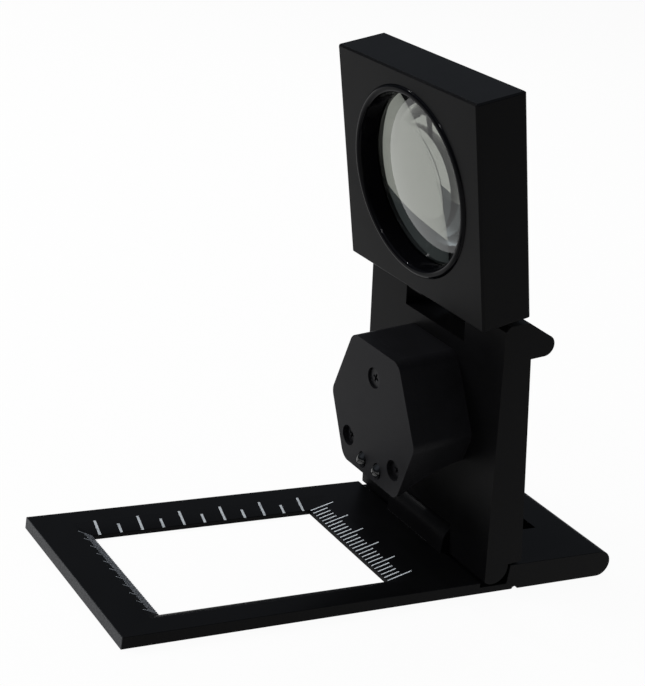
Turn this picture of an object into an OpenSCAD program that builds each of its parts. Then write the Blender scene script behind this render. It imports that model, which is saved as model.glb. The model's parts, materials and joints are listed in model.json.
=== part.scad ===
// Folding linen tester with a lit stand.
// A base plate with a bevelled, graduated window carries a hinged upright. A lens frame is
// hinged to the upright's top by a short link, so it can stand up, reach out over the window
// or lie flat behind the upright. A small lamp housing sits on the upright's front.
// Millimetres, +Z up, +Y towards the rear, origin at the centre of the base's underside.

/* [Base] */
// Width of the base, the upright and the lens frame
width = 38; // [37:0.5:44]
// Length of the base from its front edge to its round rear end
base_len = 90.4; // [88:0.4:98]
// Thickness of the base plate
plate_t = 2; // [1.8:0.1:2.6]
// Thickness of the raised rear foot
foot_t = 4.6; // [4.2:0.1:5.6]
// Bar left between the central pocket of the foot and its rear end
foot_bar = 8.5; // [4:0.1:10]
// Radius of the groove across the underside in front of the foot
groove_r = 0.6; // [0.3:0.05:0.8]
// Distance of that groove behind the hinge axis
groove_back = 5; // [4.6:0.1:6]
// Width of the window at its lower edge
window_w = 25.4; // [25.2:0.2:27]
// Length of the window at its lower edge
window_len = 40.9; // [38:0.1:41.4]
// Solid bar in front of the window, measured at its lower edge
front_bar = 8.9; // [7:0.1:10]
// Height of the straight lower edge of the window
window_lip = 0.8; // [0.5:0.1:1.2]
// Run of the bevel at the front and the two sides of the window
bevel_run = 2.6; // [1.6:0.1:3.2]
// Run of the wider bevel at the rear of the window
rear_bevel_run = 4.3; // [3.6:0.1:5]

/* [Scales] */
// Spacing of the marks across the rear bevel
cross_step = 1; // [1:0.5:2]
// Spacing of the marks along the side bevel
side_step = 3.81; // [3:0.01:3.9]
// Spacing of the fine marks on the front bevel
fine_step = 0.5; // [0.5:0.1:1]
// Length of the shorter marks as a part of the bevel
short_part = 0.62; // [0.4:0.02:0.8]
// Line width of the marks on the rear bevel
cross_line = 0.2; // [0.14:0.02:0.3]
// Line width of the marks on the side bevel
side_line = 0.42; // [0.2:0.02:0.5]
// Line width of the fine marks
fine_line = 0.16; // [0.1:0.02:0.24]
// Thickness of the paint of the marks
paint_t = 0.05; // [0.03:0.01:0.1]

/* [Base hinge] */
// Distance from the rear edge of the window to the hinge axis
hinge_setback = 15.9; // [15.8:0.1:17.4]
// Distance from the upright's front face back to the hinge axis
axis_inset = 1.8; // [1.5:0.1:2.2]
// Radius of the base hinge pin
base_pin_r = 1; // [0.8:0.05:1.2]
// Radius of the tongue that stands on the base plate
tongue_r = 3; // [2.6:0.1:3.3]
// Width of the tongue
tongue_w = 16.6; // [12:0.2:18]
// Radius of the upright's knuckles
knuckle_r = 2.6; // [2.4:0.05:2.7]
// Forward lean of the open upright, in degrees
stand_lean = 8; // [4:0.5:12]

/* [Upright] */
// Thickness of the upright at its foot
stand_t = 7.1; // [6:0.1:7.6]
// Thickness of the upright at its lugs
stand_top_t = 5.15; // [4.6:0.05:5.8]
// Height of the upright's top above the base hinge axis
stand_h = 43.05; // [42:0.05:48]
// Width of the notch in the upright's top
notch_w = 16.8; // [16.8:0.2:19]
// Depth of that notch
notch_d = 6.4; // [6.4:0.2:8]
// Bevel on the upright's top front edge
stand_chamfer = 0.8; // [0.7:0.1:1.2]
// Radius of the two round lugs behind the upright's top
lug_r = 1.75; // [1.6:0.05:1.8]
// Distance of the lugs' axis behind the upright's rear face, at the lugs
lug_out = 2.55; // [2.3:0.05:2.8]
// Distance of the lugs' axis below the upright's top
lug_drop = 4.45; // [4.2:0.05:4.55]
// Distance that the slope down to the lugs starts in front of the rear face, at the top
lug_slope_in = 0.8; // [0.6:0.1:1]

/* [Lens hinge] */
// Radius of the rear pin, which joins the link to the upright
link_pin_r = 0.8; // [0.6:0.05:1]
// Radius of the front pin, which joins the link to the lens frame
lens_pin_r = 0.75; // [0.6:0.05:0.9]
// Distance of the front pin behind the upright's front face
front_pin_in = 1.9; // [1.8:0.05:2.2]
// Distance of the front pin below the upright's top
front_pin_drop = 1.95; // [1.9:0.05:2.2]
// Radius of the link's two round ends
link_r = 1.65; // [1.5:0.05:1.7]
// Width of the link
link_w = 7.8; // [5:0.2:9]
// Radius of the two ears under the lens frame
ear_r = 2.2; // [1.8:0.05:2.25]
// Width of each ear
ear_w = 3.9; // [3:0.1:3.9]
// Forward tilt of the lens frame against the upright, in degrees
lens_lean = 7; // [0:0.5:20]

/* [Lens block] */
// Height of the lens frame
frame_h = 36; // [35.4:0.2:42]
// Height of the lens's centre above the frame's lower edge
lens_up = 18.4; // [17.6:0.1:18.8]
// Thickness of the lens frame
frame_t = 8.7; // [8.2:0.1:8.8]
// Distance of the frame's front face in front of the front pin
frame_front = 5.9; // [5.8:0.1:6]
// Bevel on the frame's outer edges
frame_chamfer = 0.3; // [0.1:0.05:0.5]
// Radius of the clear opening of the lens ring
ring_in_r = 14.05; // [13:0.05:14.4]
// Wall of the lens ring
ring_wall = 1.3; // [1:0.05:1.5]
// Height of the lens ring in front of the frame
ring_proud = 0.4; // [0.3:0.05:0.6]
// Depth of the lens edge behind the frame's front face
lens_depth = 3; // [2.6:0.1:3.2]
// Thickness of the lens at its edge
lens_edge_t = 2; // [1.5:0.1:2.2]
// Height of each curved face of the lens above its edge
lens_sag = 2.2; // [1.2:0.1:2.3]
// Radius of the opening behind the lens
rear_open_r = 13.9; // [12:0.1:14]

/* [Lamp housing] */
// Half of the housing's width across its two side corners
housing_side = 12.4; // [12.2:0.05:12.4]
// Height of the housing's flat top above its side corners
housing_rise = 12.6; // [12.2:0.1:12.7]
// Reach of the housing below its side corners
housing_fall = 10.9; // [10.4:0.1:11.4]
// Distance of the upper corners' centres from the middle
housing_top_x = 5.3; // [4.8:0.1:5.8]
// Distance of the lower corners' centres from the middle
housing_low_x = 6.6; // [6.2:0.1:7]
// Radius of the housing's six corners
housing_edge_r = 2.4; // [2:0.1:2.8]
// Depth of the housing with its cover
housing_depth = 11; // [10.8:0.1:11.2]
// Height of the housing's side corners above the base hinge axis
housing_z = 21.6; // [21.5:0.1:22]
// Wall thickness of the housing
housing_wall = 1.2; // [1:0.05:1.4]
// Thickness of the front cover
cover_t = 2.2; // [2:0.1:2.4]
// Radius of the cover screws' shanks
cover_screw_r = 0.8; // [0.6:0.05:0.9]
// Radius of the cover screws' heads
cover_head_r = 1.65; // [1.4:0.05:1.7]
// Height of the cover screws' heads
cover_head_h = 0.7; // [0.5:0.05:0.75]
// Height of the upper cover screw above the side corners
upper_screw_z = 7.3; // [7.1:0.1:7.7]
// Distance of each lower cover screw from the middle
lower_screw_x = 6.9; // [6.6:0.1:7.1]
// Distance of the lower cover screws below the side corners
lower_screw_z = 6.15; // [5.9:0.05:6.2]
// Depth of the upper cover screw's head below the cover's face
upper_head_in = 0.4; // [0.1:0.1:0.5]
// Depth of the lower cover screws' heads below the cover's face
lower_head_in = 0.8; // [0.6:0.1:0.9]
// Length of the upper cover screw inside the housing
upper_bite = 2.4; // [1.6:0.1:2.6]
// Length of the lower cover screws inside the housing
lower_bite = 1; // [0.8:0.1:1.1]
// Distance of each rear housing screw from the middle
rear_screw_x = 9.2; // [8.8:0.1:9.3]
// Radius of the rear housing screws' shanks
rear_screw_r = 0.8; // [0.6:0.05:0.9]
// Height of the rear housing screws' heads
rear_head_h = 1; // [0.8:0.1:1.2]
// Depth of those heads below the upright's rear face
rear_head_in = 0.2; // [0.15:0.05:0.5]
// Length of the rear housing screws inside the housing's floor bosses
rear_bite = 1.9; // [1.4:0.1:2]

/* [Lamp parts] */
// Radius of each lamp bulb
led_r = 1; // [0.8:0.05:1.05]
// Length of each lamp bulb behind its dome
led_len = 3.8; // [3.7:0.1:4]
// Distance of each lamp bulb from the middle
led_x = 2.3; // [1.9:0.1:2.8]
// Distance of the lamp bulbs' domes below the side corners
led_drop = 8.5; // [8:0.1:8.6]
// Angle of the lamp bulbs in front of straight down, in degrees
led_aim = 50; // [47:1:54]
// Radius of a coin cell
cell_r = 6.25; // [5.8:0.05:6.3]
// Thickness of a coin cell
cell_t = 2; // [1.6:0.1:2.1]
// Height of the coin cells' centre above the side corners
cells_up = 3.3; // [3:0.1:3.4]
// Gap between the cells and the circuit board, bridged by the front contact
contact_gap = 2; // [1.8:0.1:2.1]
// Thickness of the circuit board
board_t = 1; // [0.8:0.1:1.2]
// Width of the circuit board
board_w = 15.6; // [14:0.2:16]
// Height of the circuit board
board_h = 8.6; // [7:0.2:8.6]
// Distance of the circuit board's lower edge below the side corners
board_drop = 3.6; // [3.3:0.1:3.8]
// Length of the switch knob along its travel
knob_len = 2.6; // [2:0.1:3]
// Width of the switch knob
knob_w = 3; // [2.4:0.1:3.4]
// Height of the switch knob outside the housing
knob_h = 1.1; // [0.6:0.1:1.2]
// Travel of the switch knob
knob_travel = 2; // [1.4:0.1:2.2]

/* [Fits] */
// Gap under the folded upright
fold_gap = 0.3; // [0.25:0.05:0.5]
// Gap between the upright's knuckles and the floor of their pockets
floor_gap = 0.3; // [0.2:0.05:0.4]
// Side gap between two hinged parts
side_gap = 0.3; // [0.2:0.05:0.4]
// Gap between a turning part and the wall it passes
swing_gap = 0.5; // [0.4:0.05:0.6]
// Radial gap of a running pin
run_gap = 0.03; // [0.02:0.01:0.06]
// Gap around a sliding or seated piece
seat_gap = 0.02; // [0.01:0.01:0.05]
// Gap in front of a screw's tip
tip_gap = 0.1; // [0.05:0.05:0.15]
// Material left at the near end of a blind pin hole
blind_wall = 2; // [1:0.25:4]

/* [Hidden] */
$fn = 64;
eps = 0.5;

// Base plate, measured from the middle of its length
front_y = -base_len / 2;
rear_y = base_len / 2;
win_front = front_y + front_bar;
win_rear = win_front + window_len;
bevel_h = plate_t - window_lip;
hinge_y = win_rear + hinge_setback;
hinge_z = plate_t + fold_gap + axis_inset;

// Upright, in a frame that starts on the base hinge axis
stand_front = -axis_inset;
stand_back = stand_t - axis_inset;
stand_top_back = stand_top_t - axis_inset;
slot_front = axis_inset + swing_gap;
slot_rear = knuckle_r + swing_gap;
pocket_floor = hinge_z - knuckle_r - floor_gap;
heel_z = (foot_t + fold_gap - hinge_z - slot_rear * sin(stand_lean)) / cos(stand_lean);
tongue_slot_w = tongue_w + 2 * side_gap;
tongue_slot_h = tongue_r + swing_gap;
link_pin_y = stand_top_back + lug_out;
link_pin_z = stand_h - lug_drop;
slope_y = stand_top_back - lug_slope_in;
slope_reach = sqrt(pow(link_pin_y - slope_y, 2) + lug_drop * lug_drop);
// The slope ends a hair inside the lugs, so that the two outlines cross
slope_r = 0.99 * lug_r;
slope_turn = asin(slope_r / slope_reach) - atan2(lug_drop, link_pin_y - slope_y);
slope_run = sqrt(slope_reach * slope_reach - slope_r * slope_r);
lens_pin_y = stand_front + front_pin_in;
lens_pin_z = stand_h - front_pin_drop;
stand_back_there = stand_back
    - (stand_back - stand_top_back) * (housing_z - heel_z) / (link_pin_z - lug_r - heel_z);
rear_seat_y = stand_back_there - rear_head_in - rear_head_h;

// Lens frame, in a frame that starts on the front pin
frame_bottom = front_pin_in + swing_gap + 0.1;
frame_rear = frame_t - frame_front;
ear_out = link_w / 2 + side_gap + ear_w;
ring_out_r = ring_in_r + ring_wall;
lens_r = ring_out_r - 0.15;
lens_z = frame_bottom + lens_up;
lens_front = -frame_front + lens_depth;
lens_back = lens_front + lens_edge_t;

// Lamp housing, in the upright's frame
face_y = stand_front - housing_depth;
seam_y = face_y + cover_t;
floor_y = stand_front - housing_wall;
relief_r = sqrt(hinge_setback * hinge_setback + hinge_z * hinge_z) + fold_gap;
side_x = housing_side - housing_edge_r;
top_z = housing_rise - housing_edge_r;
low_z = housing_fall - housing_edge_r;
housing_corners = [[side_x, 0], [housing_top_x, top_z], [-housing_top_x, top_z], [-side_x, 0],
    [-housing_low_x, -low_z], [housing_low_x, -low_z]];
switch_slope = atan2(side_x - housing_top_x, top_z);
switch_flat = side_x * cos(switch_slope) + housing_edge_r;
cells_z = housing_z + cells_up;
cells_back = floor_y - 0.2;
cells_front = cells_back - 2 * cell_t - seat_gap;
board_back = cells_front - contact_gap;
board_front = board_back - board_t;
board_z = housing_z - board_drop;
led_y = face_y + 0.1;
led_z = housing_z - led_drop;
knob_y = (floor_y + seam_y) / 2 + knob_travel / 2;

// Extrudes a profile drawn in Y and Z across the width, centred on x0
module across(w, x0 = 0) {
    translate([x0 - w / 2, 0, 0]) rotate([90, 0, 90]) linear_extrude(w) children();
}

// A rod along X from x0 to x1
module rod(r, x0, x1) {
    translate([x0, 0, 0]) rotate([0, 90, 0]) cylinder(r = r, h = x1 - x0);
}

// A rod along Y from y0 to y1
module peg(r, y0, y1) {
    translate([0, y1, 0]) rotate([90, 0, 0]) cylinder(r = r, h = y1 - y0);
}

// A block centred on X, from the corner y0, z0
module slab(w, y0, z0, d, h) {
    translate([-w / 2, y0, z0]) cube([w, d, h]);
}

// Carries the upright's own frame to its place on the base
module on_stand() {
    translate([0, hinge_y, hinge_z]) rotate([stand_lean, 0, 0]) children();
}

// Carries the lens frame's own frame to its place on the upright
module on_lens() {
    on_stand() translate([0, lens_pin_y, lens_pin_z]) rotate([lens_lean, 0, 0]) children();
}

// Base plate
module window_cut() {
    slab(window_w, win_front, -eps, window_len, plate_t + 2 * eps);
    intersection() {
        translate([0, rear_y, 0]) rotate([90, 0, 0]) linear_extrude(base_len)
            polygon([[-window_w / 2, window_lip], [window_w / 2, window_lip],
                [window_w / 2 + bevel_run, plate_t], [window_w / 2 + bevel_run, plate_t + eps],
                [-window_w / 2 - bevel_run, plate_t + eps], [-window_w / 2 - bevel_run, plate_t]]);
        across(width)
            polygon([[win_front, window_lip], [win_rear, window_lip],
                [win_rear + rear_bevel_run, plate_t], [win_rear + rear_bevel_run, plate_t + eps],
                [win_front - bevel_run, plate_t + eps], [win_front - bevel_run, plate_t]]);
    }
}

module base_plate() {
    color("#1b1c1e") difference() {
        union() {
            slab(width, front_y, 0, base_len - foot_t / 2, plate_t);
            slab(width, hinge_y + slot_rear, 0, rear_y - foot_t / 2 - hinge_y - slot_rear, foot_t);
            translate([0, rear_y - foot_t / 2, foot_t / 2]) rod(foot_t / 2, -width / 2, width / 2);
            translate([0, hinge_y, hinge_z]) rod(tongue_r, -tongue_w / 2, tongue_w / 2);
            slab(tongue_w, hinge_y - tongue_r, 0, 2 * tongue_r, hinge_z);
        }
        window_cut();
        for (side = [-1, 1]) translate([side * (tongue_slot_w + width) / 2, 0, 0])
            slab(width, hinge_y - slot_front, pocket_floor, slot_front + slot_rear, foot_t);
        slab(tongue_slot_w, hinge_y + tongue_r, plate_t,
            rear_y - foot_bar - hinge_y - tongue_r, foot_t);
        translate([0, hinge_y + groove_back, -groove_r / 4]) rod(groove_r, -width, width);
        translate([0, hinge_y, hinge_z]) rod(base_pin_r, -width, width);
    }
}

// One painted mark on a bevel that rises by bevel_h over its run
module mark(line, part, run) {
    slope = atan2(bevel_h, run);
    rotate([slope, 0, 0]) translate([-line / 2, 0, 0])
        cube([line, part * sqrt(run * run + bevel_h * bevel_h), paint_t]);
}

module cross_scale() {
    count = floor((window_w - 0.4) / cross_step);
    first = -count * cross_step / 2;
    color("#d8dde4") for (i = [0 : count])
        translate([first + i * cross_step, win_rear, window_lip])
            mark(cross_line, i % 5 == 0 ? 1 : short_part, rear_bevel_run);
}

module side_scale() {
    count = floor((window_len - side_line) / side_step);
    first = (win_front + win_rear) / 2 - count * side_step / 2;
    color("#f4f5f6") for (i = [0 : count])
        translate([-window_w / 2, first + i * side_step, window_lip]) rotate([0, 0, 90])
            mark(side_line, i % 2 == 0 ? 1 : short_part, bevel_run);
}

module front_scale() {
    count = floor((window_w - 0.4) / fine_step);
    first = -count * fine_step / 2;
    color("#9aa0a8") for (i = [0 : count])
        translate([first + i * fine_step, win_front, window_lip]) rotate([0, 0, 180])
            mark(fine_line, i % 5 == 0 ? 1 : short_part, bevel_run);
}

module base_hinge_pin() {
    color("#8d9196") translate([0, hinge_y, hinge_z])
        rod(base_pin_r, -width / 2 + 0.1, width / 2 - blind_wall - 0.1);
}

// Upright plate
module stand_profile() {
    intersection() {
        circle(r = knuckle_r);
        translate([stand_front, -knuckle_r]) square([stand_t, 2 * knuckle_r]);
    }
    polygon([[stand_front, 0], [0, 0], [0, heel_z], [stand_back, heel_z],
        [stand_top_back, link_pin_z - lug_r], [link_pin_y, link_pin_z - lug_r], [link_pin_y, link_pin_z],
        [slope_y + slope_run * cos(slope_turn), stand_h + slope_run * sin(slope_turn)],
        [slope_y, stand_h], [stand_front + stand_chamfer, stand_h],
        [stand_front, stand_h - stand_chamfer]]);
    translate([link_pin_y, link_pin_z]) circle(r = lug_r);
}

module rear_screw_places() {
    for (side = [-1, 1]) translate([side * rear_screw_x, 0, housing_z]) children();
}

module upright_plate() {
    color("#1d1e20") on_stand() difference() {
        across(width) stand_profile();
        slab(tongue_slot_w, -knuckle_r - eps, -knuckle_r - eps, 2 * knuckle_r + stand_t,
            knuckle_r + eps + tongue_slot_h);
        slab(notch_w, -stand_t, stand_h - notch_d, 3 * stand_t, notch_d + eps);
        rod(base_pin_r + run_gap, -width, width / 2 - blind_wall);
        translate([0, link_pin_y, link_pin_z]) rod(link_pin_r, -width, width / 2 - blind_wall);
        rear_screw_places() {
            peg(rear_screw_r + seat_gap, stand_front - eps, stand_back + eps);
            peg(2 * rear_screw_r + seat_gap, rear_seat_y, stand_back + eps);
        }
    }
}

module link_pin() {
    color("#9a9ea3") on_stand() translate([0, link_pin_y, link_pin_z])
        rod(link_pin_r, -width / 2 + 0.1, width / 2 - blind_wall - 0.1);
}

// Lamp housing
module housing_outline(inset = 0) {
    edge = housing_edge_r - inset;
    for (corner = housing_corners) translate(corner) circle(r = edge);
    polygon([for (k = [0 : 5]) let (from = housing_corners[k], to = housing_corners[(k + 1) % 6],
            turn = atan2(to[1] - from[1], to[0] - from[0]) - 90)
        for (corner = [from, to]) corner + edge * [cos(turn), sin(turn)]]);
}

module housing_prism(y0, y1, inset = 0) {
    translate([0, y1, housing_z]) rotate([90, 0, 0]) linear_extrude(y1 - y0)
        housing_outline(inset);
}

// The space that the window's rear edge sweeps as the upright folds down
module fold_relief(extra = 0) {
    rod(relief_r + extra, -width, width);
}

module upper_screw_place() {
    translate([0, 0, housing_z + upper_screw_z]) children();
}

module lower_screw_places() {
    for (side = [-1, 1])
        translate([side * lower_screw_x, 0, housing_z - lower_screw_z]) children();
}

module led_places() {
    for (side = [-1, 1]) translate([side * led_x, led_y, led_z]) rotate([-led_aim, 0, 0])
        children();
}

module led_hole() {
    translate([0, 0, -led_r - eps]) cylinder(r = led_r + 0.15, h = led_len + led_r + 2 * eps);
}

module switch_place() {
    translate([0, knob_y, housing_z]) rotate([0, switch_slope - 90, 0]) children();
}

module lamp_housing() {
    boss_r = cover_screw_r + 1.1;
    rear_boss_r = rear_screw_r + 1;
    color("#222326") on_stand() difference() {
        union() {
            difference() {
                housing_prism(seam_y, stand_front);
                difference() {
                    housing_prism(seam_y - eps, floor_y, housing_wall);
                    fold_relief(housing_wall);
                }
            }
            upper_screw_place() {
                peg(boss_r, seam_y, seam_y + upper_bite + 0.6);
                slab(1.6, seam_y, 0, upper_bite + 0.6, housing_rise - upper_screw_z - housing_wall / 2);
            }
            lower_screw_places() peg(boss_r, seam_y, seam_y + lower_bite + 1.2);
            rear_screw_places() peg(rear_boss_r, floor_y - rear_bite - 0.5, floor_y);
        }
        fold_relief();
        upper_screw_place() peg(cover_screw_r + seat_gap, seam_y - eps, seam_y + upper_bite + tip_gap);
        lower_screw_places() peg(cover_screw_r + seat_gap, seam_y - eps, seam_y + lower_bite + tip_gap);
        rear_screw_places() peg(rear_screw_r + seat_gap, floor_y - rear_bite - tip_gap, stand_front + eps);
        led_places() led_hole();
        switch_place() translate([-knob_w / 2 - 0.25, -knob_travel - knob_len / 2 - 0.25, 0])
            translate([0, 0, switch_flat - 2 * housing_wall])
                cube([knob_w + 0.5, knob_travel + knob_len + 0.5, 4 * housing_wall]);
    }
}

module lamp_cover() {
    color("#2a2b2e") on_stand() difference() {
        housing_prism(face_y, seam_y);
        fold_relief();
        upper_screw_place() {
            peg(cover_screw_r + seat_gap, face_y - eps, seam_y + eps);
            peg(cover_head_r + 0.1, face_y - eps, face_y + upper_head_in + cover_head_h);
        }
        lower_screw_places() {
            peg(cover_screw_r + seat_gap, face_y - eps, seam_y + eps);
            peg(cover_head_r + 0.1, face_y - eps, face_y + lower_head_in + cover_head_h);
        }
        led_places() led_hole();
    }
}

// A cross-head screw pointing along +Y, from its head's face at y0 to its tip at y1
module cross_screw(y0, y1) {
    difference() {
        union() {
            peg(cover_head_r, y0, y0 + cover_head_h);
            peg(cover_screw_r, y0, y1);
        }
        for (turn = [0, 90]) rotate([0, turn + 20, 0])
            slab(0.9 * cover_head_r, y0 - eps, -0.19, eps + 0.45, 0.38);
    }
}

module cover_screws() {
    color("#34363a") on_stand() {
        upper_screw_place() cross_screw(face_y + upper_head_in, seam_y + upper_bite);
        lower_screw_places() cross_screw(face_y + lower_head_in, seam_y + lower_bite);
    }
}

module housing_screws() {
    color("#34363a") on_stand() rear_screw_places() {
        peg(rear_screw_r, floor_y - rear_bite, rear_seat_y + rear_head_h);
        peg(2 * rear_screw_r, rear_seat_y, rear_seat_y + rear_head_h);
    }
}

module lamp_bulbs() {
    lead_z = led_z + 0.75 * led_len * cos(led_aim);
    color("#e9edf0") on_stand() {
        led_places() {
            sphere(r = led_r);
            cylinder(r = led_r, h = led_len);
        }
        for (side = [-1, 1]) for (leg = [-0.6, 0.6])
            translate([side * led_x + leg - 0.2, board_back - board_t / 2 - 0.2, lead_z])
                cube([0.4, 0.4, board_z - lead_z + 0.8]);
    }
}

module circuit_board() {
    color("#1f5a3a") on_stand() difference() {
        slab(board_w, board_front, board_z, board_t, board_h);
        for (side = [-1, 1]) for (leg = [-0.6, 0.6])
            translate([side * led_x + leg - 0.22, board_back - board_t / 2 - 0.22, board_z - eps])
                cube([0.44, 0.44, eps + 0.82]);
    }
}

module coin_cells() {
    color("#c6c9cc") on_stand() translate([0, 0, cells_z]) for (k = [0, 1])
        translate([0, -k * (cell_t + seat_gap), 0]) {
            peg(cell_r, cells_back - cell_t * 0.8, cells_back);
            peg(cell_r - 0.6, cells_back - cell_t, cells_back - cell_t * 0.8);
        }
}

module rear_contact() {
    color("#c9b26a") on_stand() {
        translate([0, 0, cells_z]) peg(cell_r - 1.2, cells_back, floor_y);
        translate([0, cells_back, cells_z + 1]) cube([cell_r + 1.1, floor_y - cells_back, 1.6]);
        translate([cell_r + 0.8, board_back, cells_z + 1]) cube([0.3, floor_y - board_back, 1.6]);
    }
}

module front_contact() {
    strip = 0.25;
    color("#c9b26a") on_stand() translate([0, 0, cells_z - 2]) across(4)
        polygon([[board_back, -2], [board_back + strip, -2], [board_back + strip, 0],
            [cells_front, 3], [cells_front, 3.6], [cells_front - strip, 3.6],
            [cells_front - strip, 3], [board_back, 0]]);
}

module switch_contact() {
    color("#c9b26a") on_stand() switch_place()
        translate([-knob_w / 2, board_back - knob_y, switch_flat - housing_wall - 2])
            cube([knob_w, knob_y + knob_len / 2 - board_back, 0.8]);
}

module switch_knob() {
    top = switch_flat + knob_h;
    inner = switch_flat - housing_wall - side_gap;
    flange = 0.6;
    color("#303236") on_stand() switch_place() {
        difference() {
            translate([-knob_w / 2, -knob_len / 2, inner - 0.01])
                cube([knob_w, knob_len, top - inner + 0.01]);
            for (k = [-1, 0, 1]) translate([-knob_w / 2 - eps, 0.7 * k - 0.15, top - 0.3])
                cube([knob_w + 2 * eps, 0.3, 0.3 + eps]);
        }
        translate([-knob_w / 2 - flange, -(knob_len + flange) / 2, inner - flange])
            cube([knob_w + 2 * flange, knob_len + flange, flange]);
    }
}

// Link between the upright and the lens frame
module hinge_link() {
    dy = lens_pin_y - link_pin_y;
    dz = lens_pin_z - link_pin_z;
    reach = sqrt(dy * dy + dz * dz);
    color("#2b2c2f") on_stand() translate([0, link_pin_y, link_pin_z]) difference() {
        rotate([atan2(dz, dy), 0, 0]) across(link_w) {
            circle(r = link_r);
            translate([reach, 0]) circle(r = link_r);
            translate([0, -link_r]) square([reach, 2 * link_r]);
        }
        rod(link_pin_r + run_gap, -width, width);
        translate([0, dy, dz]) rod(lens_pin_r + run_gap, -width, width);
    }
}

// A block from corner to corner with its edges bevelled by c
module bevelled(w, d, h, c) {
    intersection() {
        linear_extrude(h) polygon([[-w / 2 + c, 0], [w / 2 - c, 0], [w / 2, c], [w / 2, d - c],
            [w / 2 - c, d], [-w / 2 + c, d], [-w / 2, d - c], [-w / 2, c]]);
        across(w) polygon([[c, 0], [d - c, 0], [d, c], [d, h - c], [d - c, h], [c, h],
            [0, h - c], [0, c]]);
        translate([0, d, 0]) rotate([90, 0, 0]) linear_extrude(d)
            polygon([[-w / 2 + c, 0], [w / 2 - c, 0], [w / 2, c], [w / 2, h - c],
                [w / 2 - c, h], [-w / 2 + c, h], [-w / 2, h - c], [-w / 2, c]]);
    }
}

// Lens frame
module lens_frame() {
    color("#242528") on_lens() difference() {
        union() {
            translate([0, -frame_front, frame_bottom])
                bevelled(width, frame_t, frame_h, frame_chamfer);
            for (side = [-1, 1]) translate([side * (ear_out - ear_w / 2), 0, 0]) {
                rod(ear_r, -ear_w / 2, ear_w / 2);
                slab(ear_w, -ear_r, 0, 2 * ear_r, frame_bottom + 1);
            }
        }
        translate([0, 0, lens_z]) {
            peg(ring_out_r, -frame_front - eps, lens_back);
            peg(rear_open_r, lens_back - eps, frame_rear + eps);
        }
        rod(lens_pin_r, -width, width);
    }
}

module lens_pin() {
    color("#9a9ea3") on_lens() rod(lens_pin_r, -ear_out, ear_out);
}

module lens_ring() {
    color("#202124") on_lens() translate([0, lens_front - seat_gap, lens_z]) rotate([90, 0, 0])
        rotate_extrude() {
            tall = lens_front - seat_gap + frame_front + ring_proud;
            round_r = 0.4;
            translate([ring_in_r, 0]) square([ring_wall, tall - round_r]);
            translate([ring_in_r + round_r, 0]) square([ring_wall - 2 * round_r, tall]);
            for (r = [ring_in_r + round_r, ring_out_r - round_r])
                translate([r, tall - round_r]) circle(r = round_r);
        }
}

module lens() {
    open_r = min(ring_in_r, rear_open_r) - 0.1;
    ball_r = (open_r * open_r + lens_sag * lens_sag) / (2 * lens_sag);
    back_y = lens_back - seat_gap;
    color([0.82, 0.88, 0.84, 0.5]) on_lens() translate([0, 0, lens_z]) {
        peg(lens_r, lens_front, back_y);
        intersection() {
            peg(open_r, lens_front - lens_sag - eps, back_y + lens_sag + eps);
            translate([0, lens_front - lens_sag + ball_r, 0]) sphere(r = ball_r, $fn = 160);
            translate([0, back_y + lens_sag - ball_r, 0]) sphere(r = ball_r, $fn = 160);
        }
    }
}

base_plate();
cross_scale();
side_scale();
front_scale();
base_hinge_pin();
upright_plate();
link_pin();
lamp_housing();
lamp_cover();
cover_screws();
housing_screws();
lamp_bulbs();
circuit_board();
coin_cells();
rear_contact();
front_contact();
switch_contact();
switch_knob();
hinge_link();
lens_frame();
lens_pin();
lens_ring();
lens();
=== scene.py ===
import json
import math

import bmesh
import bpy
from mathutils import Matrix, Vector


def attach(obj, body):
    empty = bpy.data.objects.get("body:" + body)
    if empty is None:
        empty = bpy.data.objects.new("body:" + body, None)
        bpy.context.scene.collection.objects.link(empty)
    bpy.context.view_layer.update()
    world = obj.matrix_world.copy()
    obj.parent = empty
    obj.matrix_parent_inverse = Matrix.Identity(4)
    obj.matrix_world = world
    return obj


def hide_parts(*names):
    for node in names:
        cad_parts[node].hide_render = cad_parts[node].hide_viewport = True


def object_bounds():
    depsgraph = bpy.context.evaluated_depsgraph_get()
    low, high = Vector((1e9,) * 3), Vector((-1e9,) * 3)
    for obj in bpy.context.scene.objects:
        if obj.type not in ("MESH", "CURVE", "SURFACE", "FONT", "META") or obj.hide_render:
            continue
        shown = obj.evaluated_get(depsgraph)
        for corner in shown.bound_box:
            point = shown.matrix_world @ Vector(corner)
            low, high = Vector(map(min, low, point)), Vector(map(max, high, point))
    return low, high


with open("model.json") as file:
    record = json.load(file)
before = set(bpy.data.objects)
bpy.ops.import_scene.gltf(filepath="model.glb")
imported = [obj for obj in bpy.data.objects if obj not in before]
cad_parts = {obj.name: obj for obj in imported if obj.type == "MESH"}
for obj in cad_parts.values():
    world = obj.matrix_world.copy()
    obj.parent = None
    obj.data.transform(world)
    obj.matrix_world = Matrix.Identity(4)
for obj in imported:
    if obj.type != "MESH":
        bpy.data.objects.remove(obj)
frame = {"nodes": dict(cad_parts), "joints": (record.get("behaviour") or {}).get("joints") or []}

bl_info = {
    "name": "Linen Tester",
    "version": (1, 0, 0),
    "blender": (4, 5, 0),
    "location": "View3D > Sidebar > Linen Tester",
    "description": "Pieces and finishes of a folding linen tester with a lit stand",
    "category": "Object",
}

CAD_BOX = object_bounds()
NODES = frame["nodes"]
JOINTS = {joint["name"]: joint for joint in frame["joints"]}
MM = 0.001

# The open stand leans forward on its hinge, and the lens frame leans a little more.
STAND_LEAN = math.radians(8)
LENS_LEAN = math.radians(15)
# Height of the lens's centre above the lens frame's pin, in millimetres.
LENS_HEIGHT = 20.9

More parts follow.
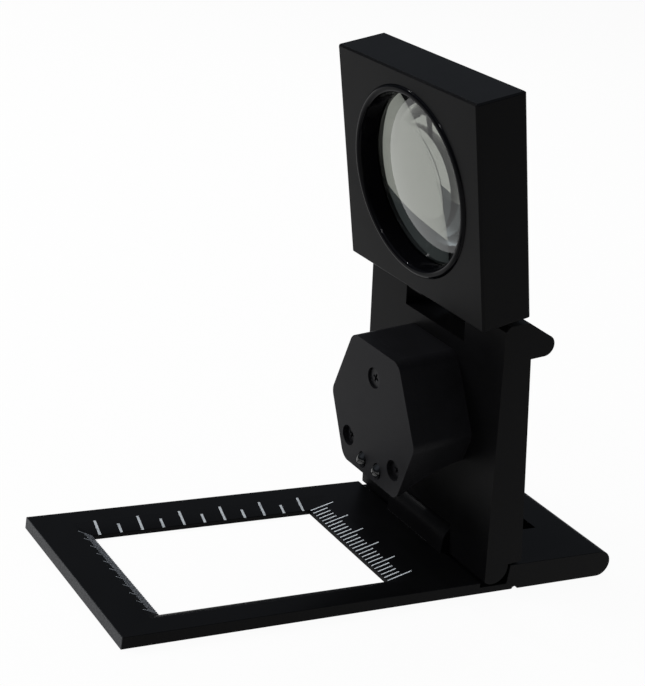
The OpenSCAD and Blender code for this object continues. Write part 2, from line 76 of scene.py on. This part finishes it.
# The photograph's camera: direction, roll, place in millimetres and focal length in pixels.
VIEW_TURN = math.radians(57.703)
VIEW_HEIGHT = math.radians(20.323)
VIEW_ROLL = math.radians(8.939)
VIEW_PLACE = (200.894, -140.915, 124.511)
VIEW_FOCAL = 1650.9
PHOTO_WIDE, PHOTO_TALL = 645, 686
PHOTO_AXIS = (283.11, 351.81)
SENSOR = 36.0

# The lights' places and widths in metres, and the point that all of them face.
LIGHT_AIM = (0.0, 0.0, 0.035)
KEY_PLACE = (-0.34, -0.5, 0.26)
KEY_WIDTH = 0.3
SOFT_BOX_PLACE = (-0.33, 0.23, 0.46)
SOFT_BOX_WIDTH = 0.5
LAMP_ABOVE_PLACE = (0.116, -0.395, 0.482)
LAMP_BESIDE_PLACE = (-0.395, -0.218, 0.445)
LAMP_WIDTH = 0.03

# Half of the floor's width in metres, and the share of plain white in what is seen of it.
FLOOR_REACH = 3.0
FLOOR_WHITE = 0.95

# The Mix node's sockets share their names, so its colour sockets are taken by number.
MIX_FACTOR, MIX_FIRST, MIX_SECOND, MIX_RESULT = 0, 6, 7, 2


# Colours and materials


def srgb(code):
    """Turns an sRGB hex colour into linear red, green and blue."""
    parts = [int(code[i : i + 2], 16) / 255 for i in (1, 3, 5)]
    return tuple(p / 12.92 if p <= 0.04045 else ((p + 0.055) / 1.055) ** 2.4 for p in parts)


def opaque(colour):
    """A colour property as red, green, blue and full alpha."""
    return (*colour[:3], 1.0)


def add_node(tree, kind, sockets=None, **settings):
    """Adds one shader node with its settings, and fills or links its sockets."""
    made = tree.nodes.new(kind)
    for key, value in settings.items():
        setattr(made, key, value)
    for key, value in (sockets or {}).items():
        if isinstance(value, bpy.types.NodeSocket):
            tree.links.new(value, made.inputs[key])
        else:
            made.inputs[key].default_value = value
    return made


def new_material(name, **sockets):
    """A material with one Principled shader, whose plain sockets are set by name."""
    material = bpy.data.materials.new(name)
    material.use_nodes = True
    tree = material.node_tree
    tree.nodes.clear()
    shader = add_node(tree, "ShaderNodeBsdfPrincipled", {k.replace("_", " "): v for k, v in sockets.items()})
    out = add_node(tree, "ShaderNodeOutputMaterial", {"Surface": shader.outputs["BSDF"]})
    out.name = "Output"
    return material, tree, shader


def grain(tree, size_mm, detail=3.0, stretch=(1.0, 1.0, 1.0)):
    """Noise on Object coordinates whose blotches are size_mm across."""
    place = add_node(tree, "ShaderNodeTexCoord").outputs["Object"]
    place = add_node(tree, "ShaderNodeMapping", {"Vector": place, "Scale": stretch}).outputs["Vector"]
    return add_node(
        tree,
        "ShaderNodeTexNoise",
        {"Vector": place, "Scale": 1 / (size_mm * MM), "Detail": detail, "Roughness": 0.6},
    ).outputs["Fac"]


def between(tree, fac, low, high, to_low, to_high):
    """Maps fac from low..high to to_low..to_high, held at both ends."""
    return add_node(
        tree,
        "ShaderNodeMapRange",
        {"Value": fac, "From Min": low, "From Max": high, "To Min": to_low, "To Max": to_high},
        clamp=True,
    ).outputs["Result"]


def blended(tree, fac, first, second):
    """A colour that goes from first to second with fac."""
    sockets = {MIX_FACTOR: fac, MIX_FIRST: first, MIX_SECOND: second}
    return add_node(tree, "ShaderNodeMix", sockets, data_type="RGBA").outputs[MIX_RESULT]


def mottled(tree, fac, low, high, colour, shade):
    """A colour that falls to a shade of itself where fac is low."""
    dark = tuple(c * shade for c in colour[:3])
    return blended(tree, between(tree, fac, low, high, 0.0, 1.0), opaque(dark), opaque(colour))


def relief(tree, height, depth_mm):
    """Bump from a height that runs from 0 to 1 over depth_mm."""
    return add_node(tree, "ShaderNodeBump", {"Height": height, "Distance": depth_mm * MM}).outputs["Normal"]


def stoved_enamel(name, colour, worn_and_lit, rubbed_and_lit_before=None):
    """Black stoving enamel on cast metal: deep black and satin, with a fine orange peel and some dust."""
    material, tree, shader = new_material(name, Specular_IOR_Level=0.042)
    cloud = grain(tree, 9.0, 2.0)
    base = mottled(tree, cloud, 0.35, 0.65, colour, 0.85)
    base = blended(tree, between(tree, grain(tree, 0.3, 4.0), 0.72, 0.80, 0.0, 0.2), base, opaque(worn_and_lit))
    if rubbed_and_lit_before is not None:
        # In front of this place along Y, in millimetres, the sawn edge of the base has lost its gloss, and
        # its coat is thin and grainy; there the enamel is painted lighter, partly for that wear and partly as
        # painted light on the lit front face.
        place = add_node(tree, "ShaderNodeTexCoord").outputs["Object"]
        along = add_node(tree, "ShaderNodeSeparateXYZ", {"Vector": place}).outputs["Y"]
        edge = between(tree, along, rubbed_and_lit_before * MM, (rubbed_and_lit_before + 0.12) * MM, 1.0, 0.0)
        speckle = between(tree, grain(tree, 0.35, 4.0), 0.3, 0.6, 0.45, 1.0)
        edge = add_node(tree, "ShaderNodeMath", {0: edge, 1: speckle}, operation="MULTIPLY").outputs["Value"]
        base = blended(tree, edge, base, opaque(worn_and_lit))
    tree.links.new(base, shader.inputs["Base Color"])
    tree.links.new(between(tree, cloud, 0.3, 0.7, 0.31, 0.39), shader.inputs["Roughness"])
    tree.links.new(relief(tree, grain(tree, 0.35, 2.0), 0.002), shader.inputs["Normal"])
    return material


def gloss_lacquer(name, colour):
    """Black gloss lacquer on turned aluminium: smooth and deep, so only small lamps show in it."""
    material, tree, shader = new_material(name, Specular_IOR_Level=0.04)
    shader.inputs["Base Color"].default_value = opaque(colour)
    smear = grain(tree, 2.2, 3.0)
    tree.links.new(between(tree, smear, 0.3, 0.7, 0.07, 0.13), shader.inputs["Roughness"])
    tree.links.new(relief(tree, grain(tree, 0.6, 2.0), 0.001), shader.inputs["Normal"])
    return material


def moulded_plastic(name, colour):
    """Black ABS with a spark-eroded mould finish: dull and finely grained."""
    material, tree, shader = new_material(name, Specular_IOR_Level=0.05)
    cloud = grain(tree, 6.0, 2.0)
    tree.links.new(mottled(tree, cloud, 0.35, 0.65, colour, 0.85), shader.inputs["Base Color"])
    tree.links.new(between(tree, cloud, 0.3, 0.7, 0.36, 0.44), shader.inputs["Roughness"])
    # The real grain is about 0.1 mm; it is drawn at 0.2 mm so that it shows.
    tree.links.new(relief(tree, grain(tree, 0.2, 3.0), 0.004), shader.inputs["Normal"])
    return material


def marking_ink(name, colour, faded, wear):
    """Baked marking ink in fine lines: matt, and thin or broken in places."""
    material, tree, shader = new_material(name, Specular_IOR_Level=0.3, Roughness=0.6)
    patch = grain(tree, 0.7, 4.0)
    tree.links.new(
        blended(tree, between(tree, patch, 0.5, 0.68, 0.0, wear), opaque(colour), opaque(faded)),
        shader.inputs["Base Color"],
    )
    return material


def blackened_steel(name, colour):
    """Oil-blackened steel screw: dark, half metallic, with bare flecks here and there."""
    material, tree, shader = new_material(name, Metallic=0.35, Specular_IOR_Level=0.1)
    fleck = grain(tree, 0.3, 3.0)
    bare = opaque(srgb("#4a4c50"))
    tree.links.new(
        blended(tree, between(tree, fleck, 0.6, 0.75, 0.0, 0.6), opaque(colour), bare),
        shader.inputs["Base Color"],
    )
    tree.links.new(between(tree, fleck, 0.3, 0.7, 0.28, 0.45), shader.inputs["Roughness"])
    return material


def drawn_metal(name, colour, roughness):
    """Drawn or rolled metal of pins, cell cases and contact strips: bright, with fine lines along X."""
    material, tree, shader = new_material(name, Metallic=1.0)
    lines = grain(tree, 0.25, 4.0, (0.05, 1.0, 1.0))
    tree.links.new(mottled(tree, lines, 0.35, 0.65, colour, 0.75), shader.inputs["Base Color"])
    tree.links.new(between(tree, lines, 0.3, 0.7, roughness, roughness + 0.12), shader.inputs["Roughness"])
    tree.links.new(relief(tree, lines, 0.003), shader.inputs["Normal"])
    return material


def shade_tinted_glass(name, colour):
    """Ground and polished optical glass: clear, a little green in its thickness and tinted darker grey as
    painted shade, with faint smears.
    """
    material, tree, shader = new_material(name, Transmission_Weight=1.0, IOR=1.52)
    shader.inputs["Base Color"].default_value = opaque(colour)
    tree.links.new(between(tree, grain(tree, 4.0, 4.0), 0.45, 0.75, 0.0, 0.06), shader.inputs["Roughness"])
    return material


def shade_tinted_epoxy(name, colour):
    """Clear epoxy of a lamp bulb: cast, so slightly wavy, and darkened by its tint, which is painted shade.
    """
    material, tree, shader = new_material(
        name, Transmission_Weight=1.0, IOR=1.5, Roughness=0.03, Specular_IOR_Level=0.2
    )
    shader.inputs["Base Color"].default_value = opaque(colour)
    tree.links.new(relief(tree, grain(tree, 0.8, 2.0), 0.01), shader.inputs["Normal"])
    return material


def printed_board(name, colour):
    """Green solder mask over glass-fibre laminate: the weave shows faintly."""
    material, tree, shader = new_material(name, Roughness=0.35)
    weave = grain(tree, 0.5, 2.0, (1.0, 1.0, 0.2))
    tree.links.new(mottled(tree, weave, 0.4, 0.6, colour, 0.7), shader.inputs["Base Color"])
    return material


# Making pieces


def on_stand():
    """From the upright's own frame, on the base hinge, to the tester's frame."""
    return Matrix.Translation(JOINTS["base_fold"]["pos_m"]) @ Matrix.Rotation(STAND_LEAN, 4, "X")


def on_lens_axis():
    """From the lens's own frame, whose +Z points forward along its axis, to the tester's frame."""
    lens_frame = Matrix.Translation(JOINTS["lens_tilt"]["pos_m"]) @ Matrix.Rotation(LENS_LEAN, 4, "X")
    return lens_frame @ Matrix.Translation((0, 0, LENS_HEIGHT * MM)) @ Matrix.Rotation(math.pi / 2, 4, "X")


def finish_piece(mesh, name, material, body, replaced, edge_mm=0.0, smooth_angle=34):
    """Turns a bmesh into a piece at the origin that rides on a body, with rounded edges if asked."""
    bmesh.ops.recalc_face_normals(mesh, faces=mesh.faces)
    data = bpy.data.meshes.new(name)
    mesh.to_mesh(data)
    mesh.free()
    data.polygons.foreach_set("use_smooth", [True] * len(data.polygons))
    data.set_sharp_from_angle(angle=math.radians(smooth_angle))
    piece = bpy.data.objects.new(name, data)
    bpy.context.scene.collection.objects.link(piece)
    data.materials.append(material)
    if edge_mm:
        bevel = piece.modifiers.new("Rounded edges", "BEVEL")
        bevel.width = edge_mm * MM
        bevel.segments = 2
        bevel.limit_method = "ANGLE"
        bevel.angle_limit = math.radians(smooth_angle)
        bevel.use_clamp_overlap = True
        flat = piece.modifiers.new("Flat faces", "WEIGHTED_NORMAL")
        flat.keep_sharp = True
        flat.weight = 100
    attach(piece, body)
    if replaced:
        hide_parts(*replaced)


def cad_copy(node_name):
    """A bmesh of a CAD node's surface with its corners merged and its flat faces joined."""
    mesh = bmesh.new()
    mesh.from_mesh(NODES[node_name].data)
    bmesh.ops.remove_doubles(mesh, verts=mesh.verts, dist=0.002 * MM)
    bmesh.ops.dissolve_limit(mesh, angle_limit=math.radians(0.4), verts=mesh.verts, edges=mesh.edges)
    return mesh


def enamel_piece(context, node_name, name, body, coat, rubbed_and_lit_before=None):
    """Replaces a CAD node by a copy of it with rounded edges and its own coat of enamel."""
    colours = context.scene.tester_colours
    enamel = stoved_enamel(coat, colours.enamel, colours.worn_and_lit, rubbed_and_lit_before)
    finish_piece(cad_copy(node_name), name, enamel, body, [node_name], context.scene.tester_sizes.edge)


def turned(profile, segments, place):
    """A solid of revolution: profile holds (radius, height) in mm, closed on the axis or on itself."""
    mesh = bmesh.new()
    points = [mesh.verts.new((r * MM, 0.0, h * MM)) for r, h in profile]
    edges = [mesh.edges.new(pair) for pair in zip(points, points[1:])]
    if profile[0][0] > 0:
        edges.append(mesh.edges.new((points[-1], points[0])))
    bmesh.ops.spin(
        mesh, geom=points + edges, cent=(0, 0, 0), axis=(0, 0, 1), dvec=(0, 0, 0),
        angle=math.tau, steps=segments, use_merge=True, use_duplicate=False,
    )
    bmesh.ops.remove_doubles(mesh, verts=mesh.verts, dist=0.0005 * MM)
    bmesh.ops.transform(mesh, matrix=place, verts=mesh.verts)
    return mesh


def arc(radius, centre, start, end, steps):
    """Points of a circular arc in (radius, height), angles in degrees."""
    turns = [math.radians(start + (end - start) * k / steps) for k in range(steps + 1)]
    return [(centre[0] + radius * math.cos(t), centre[1] + radius * math.sin(t)) for t in turns]


def dress(material, *names):
    """Gives CAD nodes a material."""
    for name in names:
        NODES[name].data.materials.clear()
        NODES[name].data.materials.append(material)


# Settings


def number_property(name, description, default, low, high):
    """A number setting with its default and its limits."""
    return bpy.props.FloatProperty(name=name, description=description, default=default, min=low, max=high)


def size_property(name, description, default, low, high):
    """A size setting in millimetres."""
    return number_property(name, description + ", in millimetres", default, low, high)


class TesterSizes(bpy.types.PropertyGroup):
    edge: size_property("Metal edge", "Rounding of the enamelled metal's edges", 0.14, 0.02, 0.3)
    cover_edge: size_property("Cover edge", "Rounding of the lamp cover's edges", 0.22, 0.02, 0.4)
    small_edge: size_property("Small edge", "Rounding of the lamp housing and its knob", 0.08, 0.02, 0.2)
    screw_edge: size_property("Screw edge", "Rounding of the screws' heads", 0.06, 0.02, 0.1)
    ring_inner: size_property("Ring opening", "Radius of the lens ring's opening", 14.05, 13.0, 14.6)
    ring_outer: size_property("Ring outside", "Outer radius of the lens ring", 15.35, 14.8, 15.4)
    lens_sag: size_property("Lens curve", "Height of each curved face of the lens", 2.2, 1.0, 2.3)
    bulb: size_property("Bulb radius", "Radius of the lamp bulbs", 1.0, 0.8, 1.05)


def colour_property(name, description, code):
    """A colour setting whose default is an sRGB hex value."""
    return bpy.props.FloatVectorProperty(
        name=name, description=description, subtype="COLOR", size=3, min=0.0, max=1.0, default=srgb(code)
    )


class TesterColours(bpy.types.PropertyGroup):
    enamel: colour_property("Enamel", "Stoving enamel of the base, the upright and the lens frame", "#0b0b0c")
    # Used for dust flecks, faded fine ink and rubbed edges; it also paints the base's front face lighter,
    # partly as painted light.
    worn_and_lit: colour_property("Rubbed enamel", "Enamel where edges are rubbed", "#414244")
    ring: colour_property("Ring lacquer", "Gloss lacquer of the lens ring", "#060608")
    plastic: colour_property("Housing plastic", "Plastic of the lamp housing", "#18181a")
    ink: colour_property("Scale ink", "Ink of the coarse scale marks", "#d5dce2")
    fine_ink: colour_property("Fine scale ink", "Ink of the fine scale marks", "#8b9097")
    # This colour also darkens the bulbs' metal cups, as painted shade.
    screw: colour_property("Screws", "Blackened steel of the screws", "#141416")
    steel: colour_property("Pins", "Steel of the hinge pins", "#8c9095")
    brass: colour_property("Contacts", "Brass of the contact strips", "#b8985a")
    cell: colour_property("Cells", "Nickel-plated case of the coin cells", "#b4b7ba")
    board: colour_property("Circuit board", "Solder mask of the circuit board", "#1d5a38")
    # The lens glass's grey tint is partly painted shade: it darkens all that shows through the lens.
    glass: colour_property("Lens glass", "Tint of the lens glass", "#8b8e87")
    # The bulbs' near-black tint is painted shade that darkens the clear domes.
    epoxy: colour_property("Bulb epoxy", "Tint of the lamp bulbs", "#060707")


class TesterStage(bpy.types.PropertyGroup):
    floor: colour_property("Floor", "Paper that the tester stands on", "#f4f4f4")
    key: number_property("Key light", "Power of the soft light in front, in watts", 2.6, 0.0, 20.0)
    top: number_property("Soft box", "Power of the large soft box above, in watts", 1.0, 0.0, 20.0)
    lamp: number_property("Small lamps", "Power of each small lamp above, in watts", 0.5, 0.0, 5.0)
    ambient: number_property("Ambient", "Strength of the light from all round", 0.22, 0.0, 2.0)


# Operators


class TESTER_OT_base_plate(bpy.types.Operator):
    """Base plate with its window, tongue and rear foot"""

    bl_idname = "tester.base_plate"
    bl_label = "Base Plate"

    def execute(self, context):
        # In front of this place the base's front face is painted lighter: worn enamel and painted light
        # together.
        rubbed_and_lit_before = CAD_BOX[0][1] / MM + 0.02
        enamel_piece(context, "base_plate", "base_plate_enamelled", "base",
                     "Stoved enamel base", rubbed_and_lit_before)
        return {"FINISHED"}


class TESTER_OT_scales(bpy.types.Operator):
    """Painted scale marks on the bevels"""

    bl_idname = "tester.scales"
    bl_label = "Scales"

    def execute(self, context):
        colours = context.scene.tester_colours
        coarse = marking_ink("White marking ink", colours.ink, colours.fine_ink, 0.6)
        fine = marking_ink("Grey marking ink", colours.fine_ink, colours.worn_and_lit, 0.8)
        dress(coarse, "cross_scale", "side_scale")
        dress(fine, "front_scale")
        return {"FINISHED"}


class TESTER_OT_upright(bpy.types.Operator):
    """Upright with its knuckles, notches and lugs"""

    bl_idname = "tester.upright"
    bl_label = "Upright"

    def execute(self, context):
        enamel_piece(context, "upright_plate", "upright_enamelled", "stand",
                     "Stoved enamel upright")
        return {"FINISHED"}


class TESTER_OT_hinges(bpy.types.Operator):
    """Hinge pins and the link between the upright and the lens frame"""

    bl_idname = "tester.hinges"
    bl_label = "Hinges"

    def execute(self, context):
        steel = drawn_metal("Drawn steel pins", context.scene.tester_colours.steel, 0.3)
        dress(steel, "base_hinge_pin", "link_pin", "lens_pin")
        enamel_piece(context, "hinge_link", "hinge_link_enamelled", "link",
                     "Stoved enamel link")
        return {"FINISHED"}


class TESTER_OT_lens_frame(bpy.types.Operator):
    """Square frame that holds the lens"""

    bl_idname = "tester.lens_frame"
    bl_label = "Lens Frame"

    def execute(self, context):
        enamel_piece(context, "lens_frame", "lens_frame_enamelled", "lens_block",
                     "Stoved enamel lens frame")
        return {"FINISHED"}


class TESTER_OT_lens_ring(bpy.types.Operator):
    """Glossy turned ring round the lens"""

    bl_idname = "tester.lens_ring"
    bl_label = "Lens Ring"

    def execute(self, context):
        colours, sizes = context.scene.tester_colours, context.scene.tester_sizes
        inner, outer = sizes.ring_inner, sizes.ring_outer
        # The ring's ends, in millimetres in front of the lens frame's pin, and the radius of its lip.
        back, front, round_r = 2.92, 6.3, 0.62
        profile = [(inner, back), (outer, back)]
        profile += arc(round_r, (outer - round_r, front - round_r), 0, 90, 6)
        profile += arc(round_r, (inner + round_r, front - round_r), 90, 180, 6)
        lacquer = gloss_lacquer("Gloss lacquer ring", colours.ring)
        finish_piece(turned(profile, 128, on_lens_axis()), "lens_ring_lacquered", lacquer, "lens_block",
                     ["lens_ring"])
        return {"FINISHED"}


class TESTER_OT_lens(bpy.types.Operator):
    """Glass lens with two curved faces and a flat rim"""

    bl_idname = "tester.lens"
    bl_label = "Lens"

    def execute(self, context):
        colours, sizes = context.scene.tester_colours, context.scene.tester_sizes
        rim, open_r, sag = 15.2, 13.8, sizes.lens_sag
        # The rim's two ends, in millimetres in front of the lens frame's pin, and the bevel on each.
        front, back, bevel = 2.9, 0.92, 0.15
        ball = (open_r**2 + sag**2) / (2 * sag)
        half = math.degrees(math.asin(open_r / ball))
        profile = arc(ball, (0, front + sag - ball), 90, 90 - half, 24)
        profile += [(rim - bevel, front), (rim, front - bevel), (rim, back + bevel), (rim - bevel, back)]
        profile += arc(ball, (0, back - sag + ball), half - 90, -90, 24)
        # Rounding leaves the arcs' ends a hair off the axis, where the profile has to close.
        profile[0] = (0.0, front + sag)
        profile[-1] = (0.0, back - sag)
        # The glass's grey tint is partly painted shade.
        glass = shade_tinted_glass("Polished optical glass", colours.glass)
        finish_piece(turned(profile, 128, on_lens_axis()), "lens_polished", glass, "lens_block", ["lens"],
                     smooth_angle=20)
        return {"FINISHED"}


class TESTER_OT_lamp_housing(bpy.types.Operator):
    """Lamp housing, its cover and its switch knob"""

    bl_idname = "tester.lamp_housing"
    bl_label = "Lamp Housing"

    def execute(self, context):
        colours, sizes = context.scene.tester_colours, context.scene.tester_sizes
        plastic = moulded_plastic("Moulded housing plastic", colours.plastic)
        for node, body, edge in (
            ("lamp_housing", "stand", sizes.small_edge),
            ("lamp_cover", "stand", sizes.cover_edge),
            ("switch_knob", "switch", sizes.small_edge),
        ):
            finish_piece(cad_copy(node), node + "_moulded", plastic, body, [node], edge)
        return {"FINISHED"}


class TESTER_OT_screws(bpy.types.Operator):
    """Screws of the lamp cover and of the lamp housing"""

    bl_idname = "tester.screws"
    bl_label = "Screws"

    def execute(self, context):
        colours, sizes = context.scene.tester_colours, context.scene.tester_sizes
        steel = blackened_steel("Blackened steel screws", colours.screw)
        for node in ("cover_screws", "housing_screws"):
            finish_piece(cad_copy(node), node + "_blackened", steel, "stand", [node],
                         sizes.screw_edge)
        return {"FINISHED"}


class TESTER_OT_lamp_bulbs(bpy.types.Operator):
    """Two clear bulbs darkened with painted shade, each with the metal cup of its lead inside"""

    bl_idname = "tester.lamp_bulbs"
    bl_label = "Lamp Bulbs"

    def execute(self, context):
        colours, sizes = context.scene.tester_colours, context.scene.tester_sizes
        radius, length, rounding = sizes.bulb, 3.8, 0.1
        # Where the domes' centres are in the upright's own frame, in millimetres, and where they point.
        side, forward, height, aim = 2.3, -12.7, 13.1, math.radians(-50)
        # The epoxy's near-black tint and the cups' near-black colour, taken from the screws, are painted
        # shade in the bulbs.
        epoxy = shade_tinted_epoxy("Cast epoxy bulbs", colours.epoxy)
        steel = drawn_metal("Drawn steel bulb leads", colours.screw, 0.2)
        clear, cups = bmesh.new(), bmesh.new()
        for x in (-side, side):
            dome = Matrix.Translation((x * MM, forward * MM, height * MM)) @ Matrix.Rotation(aim, 4, "X")
            place = on_stand() @ dome
            outline = arc(radius, (0, 0), -90, 0, 10)
            outline[0] = (0.0, -radius)
            outline += [(radius, length - rounding), (radius - rounding, length), (0, length)]
            # A metal cup that opens towards the dome, on a tapered stem.
            cup = [(0.0, 0.8), (0.22, 0.8), (0.45, 0.45), (0.52, 0.45), (0.52, 0.9), (0.35, 2.4), (0.0, 2.4)]
            for target, profile in ((clear, outline), (cups, cup)):
                part = turned(profile, 32, place)
                data = bpy.data.meshes.new("bulb part")
                part.to_mesh(data)
                part.free()
                target.from_mesh(data)
                bpy.data.meshes.remove(data)
        finish_piece(clear, "lamp_bulbs_clear", epoxy, "stand", ["lamp_bulbs"], smooth_angle=40)
        finish_piece(cups, "lamp_bulb_cups", steel, "stand", (), smooth_angle=40)
        return {"FINISHED"}


class TESTER_OT_electrics(bpy.types.Operator):
    """Circuit board, coin cells and contacts inside the lamp housing"""

    bl_idname = "tester.electrics"
    bl_label = "Electrics"

    def execute(self, context):
        colours = context.scene.tester_colours
        brass = drawn_metal("Brass contact strip", colours.brass, 0.3)
        dress(printed_board("Solder mask on laminate", colours.board), "circuit_board")
        dress(drawn_metal("Nickel-plated cell case", colours.cell, 0.25), "coin_cells")
        dress(brass, "rear_contact", "front_contact", "switch_contact")
        return {"FINISHED"}


class TESTER_OT_studio(bpy.types.Operator):
    """Pale floor, soft lights, white surroundings and the camera"""

    bl_idname = "tester.studio"
    bl_label = "Studio"

    def execute(self, context):
        stage = context.scene.tester_stage
        self.make_floor(stage)
        self.make_world(context.scene, stage)
        # Only the small lamps show in the lacquer and in the glass.
        self.make_light("Key light", KEY_PLACE, KEY_WIDTH, stage.key, reflected=False)
        self.make_light("Soft box", SOFT_BOX_PLACE, SOFT_BOX_WIDTH, stage.top, reflected=False)
        self.make_light("Lamp above", LAMP_ABOVE_PLACE, LAMP_WIDTH, stage.lamp, reflected=True)
        self.make_light("Lamp beside", LAMP_BESIDE_PLACE, LAMP_WIDTH, stage.lamp, reflected=True)
        self.make_camera(context.scene)
        context.scene.view_settings.view_transform = "Standard"
        return {"FINISHED"}

    def white_ray(self, tree, path):
        """1 where a ray comes from the camera, a reflection or through glass."""
        both = add_node(tree, "ShaderNodeMath", {0: path["Is Camera Ray"], 1: path["Is Glossy Ray"]},
                        operation="MAXIMUM").outputs["Value"]
        return add_node(tree, "ShaderNodeMath", {0: both, 1: path["Is Transmission Ray"]},
                        operation="MAXIMUM").outputs["Value"]

    def make_floor(self, stage):
        """White paper that glows plain white where it is seen, but still takes the tester's shadow."""
        mesh = bmesh.new()
        bmesh.ops.create_grid(mesh, x_segments=1, y_segments=1, size=FLOOR_REACH)
        data = bpy.data.meshes.new("Floor")
        mesh.to_mesh(data)
        mesh.free()
        floor = bpy.data.objects.new("Floor", data)
        bpy.context.scene.collection.objects.link(floor)
        material, tree, shader = new_material("White paper floor", Roughness=0.9, Specular_IOR_Level=0.1)
        shader.inputs["Base Color"].default_value = opaque(stage.floor)
        glow = add_node(tree, "ShaderNodeEmission", {"Color": (1, 1, 1, 1), "Strength": 1.0})
        path = add_node(tree, "ShaderNodeLightPath").outputs
        fac = add_node(tree, "ShaderNodeMath", {0: self.white_ray(tree, path), 1: FLOOR_WHITE},
                       operation="MULTIPLY")
        sockets = {0: fac.outputs["Value"], 1: shader.outputs["BSDF"], 2: glow.outputs["Emission"]}
        mix = add_node(tree, "ShaderNodeMixShader", sockets)
        tree.links.new(mix.outputs["Shader"], tree.nodes["Output"].inputs["Surface"])
        data.materials.append(material)

    def make_world(self, scene, stage):
        """White surroundings to look at, a soft light from all round, and a room for the reflections."""
        world = bpy.data.worlds.new("White surroundings")
        world.use_nodes = True
        tree = world.node_tree
        tree.nodes.clear()
        path = add_node(tree, "ShaderNodeLightPath").outputs
        # Reflections see a dark room round the table and a pale, faintly blue ceiling.
        direction = add_node(tree, "ShaderNodeTexCoord").outputs["Generated"]
        rise = add_node(tree, "ShaderNodeSeparateXYZ", {"Vector": direction}).outputs["Z"]
        walls, ceiling = opaque(srgb("#60656a")), opaque(srgb("#e6efff"))
        room = blended(tree, between(tree, rise, 0.4, 0.9, 0.0, 1.0), walls, ceiling)
        shade = blended(tree, path["Is Glossy Ray"], (1, 1, 1, 1), room)
        soft = add_node(tree, "ShaderNodeBackground", {"Color": (1, 1, 1, 1), "Strength": stage.ambient})
        seen = add_node(tree, "ShaderNodeBackground", {"Color": shade, "Strength": 1.0})
        white = self.white_ray(tree, path)
        sockets = {0: white, 1: soft.outputs["Background"], 2: seen.outputs["Background"]}
        mix = add_node(tree, "ShaderNodeMixShader", sockets)
        add_node(tree, "ShaderNodeOutputWorld", {"Surface": mix.outputs["Shader"]})
        scene.world = world

    def make_light(self, name, place, width, power, reflected):
        """A round soft light that faces the tester, and shows in gloss and glass only if reflected."""
        data = bpy.data.lights.new(name, "AREA")
        data.shape = "DISK"
        data.size = width
        data.energy = power
        light = bpy.data.objects.new(name, data)
        light.location = place
        light.rotation_euler = (Vector(LIGHT_AIM) - Vector(place)).to_track_quat("-Z", "Y").to_euler()
        light.visible_glossy = reflected
        light.visible_transmission = reflected
        bpy.context.scene.collection.objects.link(light)

    def make_camera(self, scene):
        """The photograph's camera, with its picture axis a little off the middle."""
        back = Vector((
            math.sin(VIEW_TURN) * math.cos(VIEW_HEIGHT),
            -math.cos(VIEW_TURN) * math.cos(VIEW_HEIGHT),
            math.sin(VIEW_HEIGHT),
        ))
        level = Vector((math.cos(VIEW_TURN), math.sin(VIEW_TURN), 0.0))
        rise = back.cross(level)
        right = level * math.cos(VIEW_ROLL) + rise * math.sin(VIEW_ROLL)
        up = rise * math.cos(VIEW_ROLL) - level * math.sin(VIEW_ROLL)
        data = bpy.data.cameras.new("Camera")
        data.sensor_width = SENSOR
        data.lens = VIEW_FOCAL * SENSOR / PHOTO_TALL
        data.shift_x = (PHOTO_WIDE / 2 - PHOTO_AXIS[0]) / PHOTO_TALL
        data.shift_y = (PHOTO_AXIS[1] - PHOTO_TALL / 2) / PHOTO_TALL
        data.clip_start = 0.01
        data.clip_end = 20.0
        camera = bpy.data.objects.new("Camera", data)
        turn = Matrix((right, up, back)).transposed().to_4x4()
        camera.matrix_world = Matrix.Translation(Vector(VIEW_PLACE) * MM) @ turn
        scene.collection.objects.link(camera)
        scene.camera = camera


OPERATORS = (
    TESTER_OT_base_plate, TESTER_OT_scales, TESTER_OT_upright, TESTER_OT_hinges, TESTER_OT_lens_frame,
    TESTER_OT_lens_ring, TESTER_OT_lens, TESTER_OT_lamp_housing, TESTER_OT_screws, TESTER_OT_lamp_bulbs,
    TESTER_OT_electrics, TESTER_OT_studio,
)


class TESTER_PT_panel(bpy.types.Panel):
    """Sizes, colours, lights and pieces of the tester"""

    bl_label = "Linen Tester"
    bl_idname = "TESTER_PT_panel"
    bl_space_type = "VIEW_3D"
    bl_region_type = "UI"
    bl_category = "Linen Tester"

    def draw(self, context):
        scene = context.scene
        for group in (scene.tester_sizes, scene.tester_colours, scene.tester_stage):
            box = self.layout.box()
            for key in group.__annotations__:
                box.prop(group, key)
        for operator in OPERATORS:
            self.layout.operator(operator.bl_idname)


GROUPS = {"tester_sizes": TesterSizes, "tester_colours": TesterColours, "tester_stage": TesterStage}


def register():
    for group in GROUPS.values():
        bpy.utils.register_class(group)
    for key, group in GROUPS.items():
        setattr(bpy.types.Scene, key, bpy.props.PointerProperty(type=group))
    for cls in (*OPERATORS, TESTER_PT_panel):
        bpy.utils.register_class(cls)


def unregister():
    for cls in (TESTER_PT_panel, *reversed(OPERATORS)):
        bpy.utils.unregister_class(cls)
    for key, group in GROUPS.items():
        delattr(bpy.types.Scene, key)
        bpy.utils.unregister_class(group)


def main():
    register()
    bpy.ops.tester.base_plate()
    bpy.ops.tester.scales()
    bpy.ops.tester.upright()
    bpy.ops.tester.hinges()
    bpy.ops.tester.lens_frame()
    bpy.ops.tester.lens_ring()
    bpy.ops.tester.lens()
    bpy.ops.tester.lamp_housing()
    bpy.ops.tester.screws()
    bpy.ops.tester.lamp_bulbs()
    bpy.ops.tester.electrics()
    bpy.ops.tester.studio()


if __name__ == "__main__":
    main()
